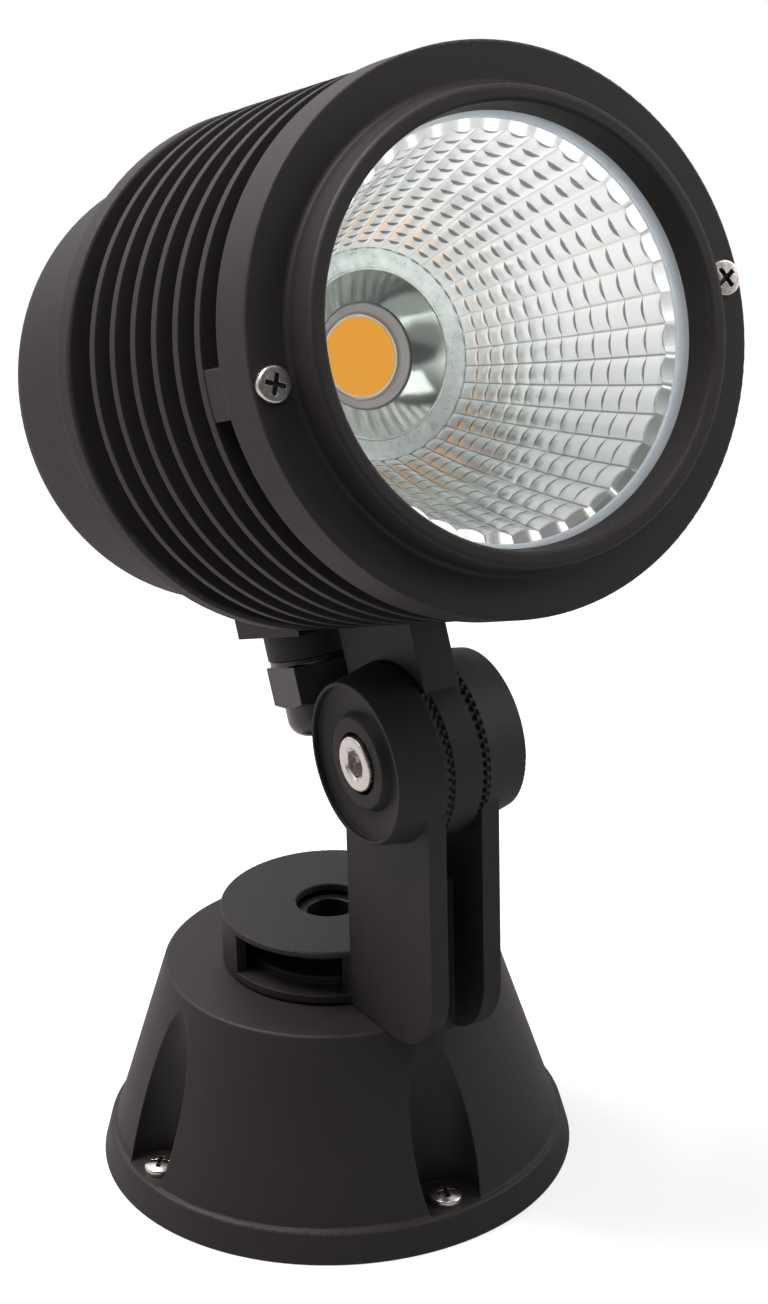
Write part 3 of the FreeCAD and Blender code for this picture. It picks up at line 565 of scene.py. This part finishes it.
def cupPieces():
    # bowl: a cone that steepens outwards, its rise (1 - dish) t + dish t^2 for t from 0 to 1;
    # ring: a circle carried round it; band: a flat washer with a slight dish
    c = cup
    share = np.linspace(0, 1, c["rings"])
    radius = c["throat"] + (c["mouth"] - c["throat"]) * share
    rise = (1 - c["dish"]) * share + c["dish"] * share ** 2
    height = c["floor"] + (c["lip"] - c["floor"]) * rise
    inside = np.stack([radius, height], axis=1)
    bowl = np.vstack([inside, (inside - (0, c["wall"]))[::-1]])
    ring = circle(
        c["mouth"] + c["ringShift"], c["lip"] + c["ringShift"], c["ringRadius"], c["ringSides"])
    band = rounded([
        (c["mouth"], c["lip"] - c["wall"]), (c["reach"], c["lip"] - c["wall"]),
        (c["reach"], c["lip"] + c["brim"], c["brimRound"]),
        ((c["mouth"] + c["reach"]) / 2, c["lip"] + c["brimMiddle"]), (c["mouth"], c["lip"])])
    bowlMesh = gridMesh("cupBowl", turnedGrid(bowl, c["segments"]))
    meshes = [gridMesh("cup", turnedGrid(part, c["segments"])) for part in (ring, band)]
    bandMesh = joinMeshes("cupBand", meshes)
    addPiece(
        "cupBowl", bowlMesh, lampPlace, cupFinish, "head",
        replaced=("reflector_cup",))
    addPiece(
        "cupBand", bandMesh, lampPlace, satinFinish, "head",
        replaced=("reflector_cup",))


cupPieces()

light = {
    "segments": 96,
    "board": -64.0,            # face of the metal board
    "field": 9.0,              # radius of the yellow field
    "fieldRings": 14,
    "gel": 0.6,
    "gelFall": 0.35,           # share of the gel's height that is gone at its edge
    "dam": 0.3,                # half width of the silicone dam round it
    "damShift": (0.05, 0.5),   # its middle, out from the field and up from the board
    "damSides": 14,
    "holderFace": -61.5,
    "holderFoot": -65.5,
    "holderReach": 21.5,
    "holderShelf": -62.6,      # under the cup, outside the ring that shows
    "boardReach": 13.6,
    "ring": 11.7,              # outer edge of the ring that shows
    "brow": (0.9, 1.3),        # its inner edge, out from the field and up from the board
    "browFoot": (0.5, 0.05),
    "rounds": (0.5, 0.25, 0.3),    # shelf, ring and brow
}


def lightSource():
    # gel: a flat dome, height gel (1 - gelFall (r / field)^6); dam: a bead carried round it;
    # holder: a ring that slopes down to the dam, and the shelf that screws it down
    g = light
    radius = np.linspace(0, g["field"], g["fieldRings"])
    height = g["board"] + g["gel"] * (1 - g["gelFall"] * (radius / g["field"]) ** 6)
    gel = np.vstack([
        np.stack([radius, height], axis=1), [(g["field"], g["board"]), (0, g["board"])]])
    addPiece(
        "phosphorField", gridMesh("phosphorField", turnedGrid(gel, g["segments"])), lampPlace,
        phosphorFinish, "head", replaced=("led_emitter",))
    out, up = g["damShift"]
    bead = circle(g["field"] + out, g["board"] + up, g["dam"], g["damSides"])
    addPiece(
        "siliconeDam", gridMesh("siliconeDam", turnedGrid(bead, g["segments"])), lampPlace,
        damFinish, "head", replaced=("led_emitter",))
    shelfRound, ringRound, browRound = g["rounds"]
    foot = g["board"] + g["browFoot"][1]
    holder = rounded([
        (g["boardReach"], g["holderFoot"]), (g["holderReach"], g["holderFoot"]),
        (g["holderReach"], g["holderShelf"], shelfRound), (g["ring"], g["holderShelf"]),
        (g["ring"], g["holderFace"], ringRound),
        (g["field"] + g["brow"][0], g["board"] + g["brow"][1], browRound),
        (g["field"] + g["browFoot"][0], foot), (g["boardReach"], foot)])
    addPiece(
        "ledHolder", gridMesh("ledHolder", turnedGrid(holder, g["segments"])), lampPlace,
        resinFinish, "head", replaced=("led_holder",))


lightSource()
print("cup and light source")

# glass and the gasket behind it
glass = {
    "segments": 192,
    "radius": 47.5,
    "front": 0.4,
    "back": -3.6,
    "arris": 0.5,              # ground edge
    "margin": 1.5,             # ring that keeps the faces' shading flat inside it
    "gasketBore": 44.1,
    "gasketBack": -4.55,
    "gasketRound": 0.3,
    "gap": 0.06,
}


def glassPieces():
    # a flat disc with ground arrises, and a washer with rounded inner edge, round the axis
    g = glass
    flat = g["radius"] - g["margin"]
    disc = rounded([
        (0, g["back"]), (flat, g["back"]), (g["radius"], g["back"], g["arris"]),
        (g["radius"], g["front"], g["arris"]), (flat, g["front"]), (0, g["front"])])
    addPiece(
        "glassDisc", gridMesh("glassDisc", turnedGrid(disc, g["segments"]), loopU=False),
        lampPlace, glassFinish, "head", crease=25, replaced=("front_glass",))
    top = g["back"] - g["gap"]
    ring = rounded([
        (g["gasketBore"], g["gasketBack"]), (g["radius"], g["gasketBack"]), (g["radius"], top),
        (g["gasketBore"], top, g["gasketRound"])])
    addPiece(
        "glassGasket", gridMesh("glassGasket", turnedGrid(ring, g["segments"])), lampPlace,
        siliconeFinish, "head", replaced=("glass_gasket",))


glassPieces()
print("glass and gasket")

# cross-head screws on the bezel and the base
crossScrew = {
    "segments": 128,
    "head": 3.9,
    "shank": 2.0,
    "arm": 2.35,               # half length of the cross
    "blade": 0.52,             # half width of its arms
    "wall": 0.14,              # width of the cross's sloping wall
    "deep": 1.25,
    "taper": 0.45,             # share of the depth that is gone at the end of an arm
    "crossRings": (2.65, 30),  # reach and number of the fine rings round the cross
    "domeRings": (2.85, 3.45, 6),
    "rimRings": 6,
    "side": 0.75,              # height of the head's upright side
    "foot": (0.15, 0.1),       # chamfer under the head, in and up
    "paintedDark": 0.08,              # depth below which the cross recess takes the painted shade
}
bezelScrews = {"out": 55.6, "turns": (0.42, 1.1), "height": 1.75, "dome": 0.12, "length": 20}
baseScrews = {
    "out": 49.5, "height": 2.5, "dome": 1.1,
    "above": 2.6,              # top of the CAD screws above their seat
    "spots": ((0, -1, 0.3), (-1, 0, 0.75), (1, 0, 0.1), (0, 1, 1.2)),      # x, y and turn
}


def screwGrid(height, dome, length, turn):
    # polar grid, depth under the top = dome r^2 / head^2 + cross recess; the recess is the
    # distance inside the cross over the wall's width, from 0 to 1, times a depth that shrinks
    # outwards. Then the rounded edge, the side, the seat and the shank follow in rings
    c = crossScrew
    angle = np.linspace(0, 2 * math.pi, c["segments"], endpoint=False)
    domeEnd = c["domeRings"][1]
    inner = np.concatenate([np.linspace(0, *c["crossRings"]), np.linspace(*c["domeRings"])])
    x = inner[:, None] * np.cos(angle + turn)
    y = inner[:, None] * np.sin(angle + turn)
    one = np.minimum(c["arm"] - abs(x), c["blade"] - abs(y))
    two = np.minimum(c["arm"] - abs(y), c["blade"] - abs(x))
    inside = np.clip(np.maximum(one, two) / c["wall"], 0, 1)
    deep = c["deep"] * (1 - c["taper"] * inner[:, None] / c["arm"])
    top = height - dome * (inner[:, None] / c["head"]) ** 2 - inside * deep
    swing = np.linspace(0, math.pi / 2, c["rimRings"])[1:]
    start = height - dome * (domeEnd / c["head"]) ** 2
    rim = np.stack([
        domeEnd + (c["head"] - domeEnd) * np.sin(swing),
        start - (start - c["side"]) * (1 - np.cos(swing))], axis=1)
    tail = np.vstack([rim, [
        (c["head"], c["foot"][1]), (c["head"] - c["foot"][0], 0), (c["shank"], 0),
        (c["shank"], -length), (0, -length)]])
    radius = np.concatenate([inner, tail[:, 0]])[:, None]
    level = np.vstack([top, np.repeat(tail[:, 1:], len(angle), 1)])
    return np.stack([radius * np.cos(angle), radius * np.sin(angle), level], axis=2)


def addScrews(name, spots, height, dome, length, body, node):
    # the same screw at each (place, turn), joined into one piece, its recess a dark metal that
    # paints its shade
    c = crossScrew
    meshes = []
    for place, turn in spots:
        mesh = gridMesh(name, screwGrid(height, dome, length, turn), loopU=False)
        middles = np.zeros((len(mesh.polygons), 3), np.float32)
        mesh.polygons.foreach_get("center", middles.ravel())
        reach = np.hypot(middles[:, 0], middles[:, 1])
        top = height - dome * (reach / c["head"]) ** 2
        shadedRecess = (reach < c["arm"]) & (middles[:, 2] < top - c["paintedDark"])
        mesh.polygons.foreach_set("material_index", shadedRecess.astype(np.int32))
        mesh.transform(place)
        meshes.append(mesh)
    piece = addPiece(
        name, joinMeshes(name, meshes), Matrix(), steelFinish, body, crease=40,
        replaced=(node,))
    piece.data.materials.append(recessShadeFinish)


bezelSpots = [
    (lampPlace @ Matrix.Translation((side * bezelScrews["out"], 0, 0)), turn)
    for side, turn in zip((-1, 1), bezelScrews["turns"])]
addScrews(
    "bezelScrews", bezelSpots, bezelScrews["height"], bezelScrews["dome"],
    bezelScrews["length"], "head", "bezel_screws")
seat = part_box("base_screws")[1].z / mm - baseScrews["above"]
baseSpots = [
    (Matrix.Scale(mm, 4) @ Matrix.Translation(
        (baseScrews["out"] * x, baseScrews["out"] * y, seat)), turn)
    for x, y, turn in baseScrews["spots"]]
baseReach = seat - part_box("base_screws")[0].z / mm
addScrews(
    "baseScrews", baseSpots, baseScrews["height"], baseScrews["dome"], baseReach, "base",
    "base_screws")
print("cross-head screws")

# socket head bolt of the tilt joint
bolt = {
    "segments": 288,
    "head": 6.5,
    "headHeight": 8.0,
    "shank": 4.0,
    "socket": 6.0,             # across the flats
    # socket's rings from its drilled point up: share of the hexagon, level
    "socketRings": ((0.0, -4.2), (0.92, -3.6), (1.0, -3.4), (1.0, -0.55), (1.01, -0.45)),
    "chamfer": 3.85,           # mouth of the socket
    "chamferDepth": 0.06,
    # face and its rounded edge: radius, level
    "faceRings": ((3.95, 0.0), (5.75, 0.0), (6.1, -0.09), (6.34, -0.3), (6.42, -0.6)),
    "knurls": 72,
    "knurlDepth": 0.11,
    "knurlSpan": (-0.8, -7.5),
    "foot": 6.3,
    "face": 17.2,              # head's face out from the lamp's middle
}


def boltMesh():
    # rings about the bolt's axis: a hexagon's radius is half the flats over cos of the angle to
    # the nearest flat; the knurled side is radius - depth cos^2(knurls a / 2)
    b = bolt
    angle = np.linspace(0, 2 * math.pi, b["segments"], endpoint=False)
    flat = (angle + math.pi / 6) % (math.pi / 3) - math.pi / 6
    hexagon = b["socket"] / 2 / np.cos(flat)
    knurl = b["knurlDepth"] * np.cos(b["knurls"] * angle / 2) ** 2
    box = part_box("pivot_bolt")
    end = (box[0].x - box[1].x) / mm
    rings = [(share * hexagon, level) for share, level in b["socketRings"]]
    rings += [(np.maximum(b["chamfer"], hexagon), -b["chamferDepth"])]
    rings += [(radius + 0 * angle, level) for radius, level in b["faceRings"]]
    rings += [(b["head"] - knurl, level) for level in b["knurlSpan"]]
    rings += [(radius + 0 * angle, level) for radius, level in (
        (b["foot"], -b["headHeight"]), (b["shank"], -b["headHeight"]), (b["shank"], end),
        (0, end))]
    radius = np.stack([ring for ring, level in rings])
    level = np.array([level for ring, level in rings])[:, None] + 0 * angle
    # the axis points out of the left ear, along -X, with the hexagon's corners up and down
    grid = np.stack([
        -b["face"] - level, radius * np.cos(angle), radius * np.sin(angle)], axis=2)
    return gridMesh("socketBolt", grid, loopU=False)


pivotPlace = Matrix.Translation(Vector(lamp["pivot"]) * mm) @ Matrix.Scale(mm, 4)
addPiece(
    "socketBolt", boltMesh(), pivotPlace, steelFinish, "bracket", crease=30,
    replaced=("pivot_bolt",))
print("tilt bolt")

# studio
view = {
    "place": (-0.408139, -0.693952, 0.498107),
    "azimuth": -31.489,
    "elevation": 24.498,
    "roll": -1.4,
    "lens": 104.78,            # on a sensor 36 mm high
    "sensor": 36.0,
}


def aimCamera():
    # the camera looks back along (sin a cos e, -cos a cos e, sin e), rolled about that line
    a, e, r = (math.radians(view[key]) for key in ("azimuth", "elevation", "roll"))
    right = Vector((math.cos(a), math.sin(a), 0))
    back = Vector((math.sin(a) * math.cos(e), -math.cos(a) * math.cos(e), math.sin(e)))
    up = back.cross(right)
    across = right * math.cos(r) + up * math.sin(r)
    upright = up * math.cos(r) - right * math.sin(r)
    turn = Matrix((across, upright, back)).transposed().to_4x4()
    lens = bpy.data.cameras.new("camera")
    lens.sensor_fit = "VERTICAL"
    lens.sensor_height = view["sensor"]
    lens.lens = view["lens"]
    camera = bpy.data.objects.new("camera", lens)
    camera.matrix_world = Matrix.Translation(view["place"]) @ turn
    bpy.context.scene.collection.objects.link(camera)
    bpy.context.scene.camera = camera


aimCamera()

studio = {
    "floor": 4.0,              # half width of the floor, m
    "paper": "#B4B4B4",
    "paperGlow": 0.64,         # added for the camera alone, so that unshaded paper is white
    "paperEdge": (0.25, 0.7),  # between these reaches the paper turns plain white, m
    "fill": 0.4,               # plain light of the room
    "room": 1.0,               # what glossy surfaces see, and its sides
    "roomSides": (
        ((-0.35, -0.85, 0.15), -0.35, 0.6, -0.88),     # unlit behind the camera
        ((0.1, 0.98, 0.05), 0.75, 0.96, 0.4)),         # lit backdrop
    "glassRoom": 4.0,          # the same for what is seen through the glass
    "glassSides": (
        ((0.3, -0.3, 0.9), 0.35, 0.85, -3.8),          # ceiling
        ((-0.38, -0.87, 0.3), 0.93, 0.985, -3.4)),     # the camera
    "least": 0.06,
    # place, target, size, power and colour of each lamp
    "lamps": {
        "keyLamp": ((-0.4, 0.3, 1.15), (0, -0.05, 0.2), (0.6, 0.7), 27, "#FFF3F1"),
        "sideLamp": ((0.8, -0.5, 0.6), (0, 0, 0.15), (0.5, 0.9), 5, "#FFF6F3"),
        "frontLamp": ((-0.08, -0.68, 1.0), (0, -0.05, 0.2), (0.42, 0.3), 1.7, "#FFFFFF"),
    },
}


def addLamp(name, place, target, size, power, colour):
    # a rectangular soft box that faces its target
    lit = bpy.data.lights.new(name, "AREA")
    lit.color = toLinear(colour)[:3]
    lit.shape = "RECTANGLE"
    lit.size, lit.size_y = size
    lit.energy = power
    made = bpy.data.objects.new(name, lit)
    made.location = place
    made.rotation_euler = (Vector(place) - Vector(target)).to_track_quat("Z", "Y").to_euler()
    bpy.context.scene.collection.objects.link(made)


def makeFloor():
    # seamless paper: white to the camera where no shadow falls, paler grey to the object
    mesh = bpy.data.meshes.new("floor")
    reach = studio["floor"]
    mesh.from_pydata(
        [(-reach, -reach, 0), (reach, -reach, 0), (reach, reach, 0), (-reach, reach, 0)], [],
        [(0, 1, 2, 3)])
    floor = bpy.data.objects.new("floor", mesh)
    bpy.context.scene.collection.objects.link(floor)
    made = bpy.data.materials.new("seamlessPaper")
    made.use_nodes = True
    tree = made.node_tree
    tree.nodes.clear()
    path = addNode(tree, "LightPath")
    paper = addNode(tree, "BsdfDiffuse", [toLinear(studio["paper"])])
    glow = addNode(tree, "Emission", {"Strength": studio["paperGlow"]})
    # farther out the paper is plain white, as the backdrop
    where = addNode(tree, "TexCoord").outputs["Object"]
    far = addNode(tree, "VectorMath", [where], operation="LENGTH")
    edge = addNode(
        tree, "MapRange", (far.outputs["Value"], *studio["paperEdge"], 0.0, 1.0))
    both = addNode(tree, "AddShader", (paper, glow))
    white = addNode(tree, "Emission", {"Strength": 1.0})
    shown = addNode(tree, "MixShader", (edge, both, white))
    seen = addNode(tree, "Math", (
        path.outputs["Is Camera Ray"], path.outputs["Is Transmission Ray"]),
        operation="MAXIMUM")
    addNode(tree, "OutputMaterial", [addNode(tree, "MixShader", (seen, paper, shown))])
    mesh.materials.append(made)


def lightWorld():
    # the camera sees white. Metal and glass see a room of one level with softer or brighter
    # sides: each side adds gain times a smooth step of its nearness, from low to high
    world = bpy.data.worlds.new("studio")
    bpy.context.scene.world = world
    world.use_nodes = True
    tree = world.node_tree
    tree.nodes.clear()
    path = addNode(tree, "LightPath")
    way = addNode(tree, "TexCoord").outputs["Generated"]
    level = studio["fill"]
    for ray, base, sides in (
            ("Is Glossy Ray", studio["room"], studio["roomSides"]),
            ("Is Transmission Ray", studio["glassRoom"], studio["glassSides"])):
        for side, low, high, gain in sides:
            facing = addNode(
                tree, "VectorMath", (way, tuple(Vector(side).normalized())),
                operation="DOT_PRODUCT")
            share = addNode(
                tree, "MapRange", (facing.outputs["Value"], low, high, 0.0, gain),
                interpolation_type="SMOOTHSTEP")
            base = addNode(tree, "Math", (base, share))
        base = addNode(tree, "Math", (base, studio["least"]), operation="MAXIMUM")
        level = addNode(tree, "Mix", {0: path.outputs[ray], 2: level, 3: base})
    level = addNode(tree, "Mix", {0: path.outputs["Is Camera Ray"], 2: level, 3: 1.0})
    sky = addNode(tree, "Background", {"Color": toLinear("#FFFFFF"), "Strength": level})
    addNode(tree, "OutputWorld", [sky])


makeFloor()
lightWorld()
for name, values in studio["lamps"].items():
    addLamp(name, *values)
bpy.context.scene.view_settings.view_transform = "Standard"
print("studio")
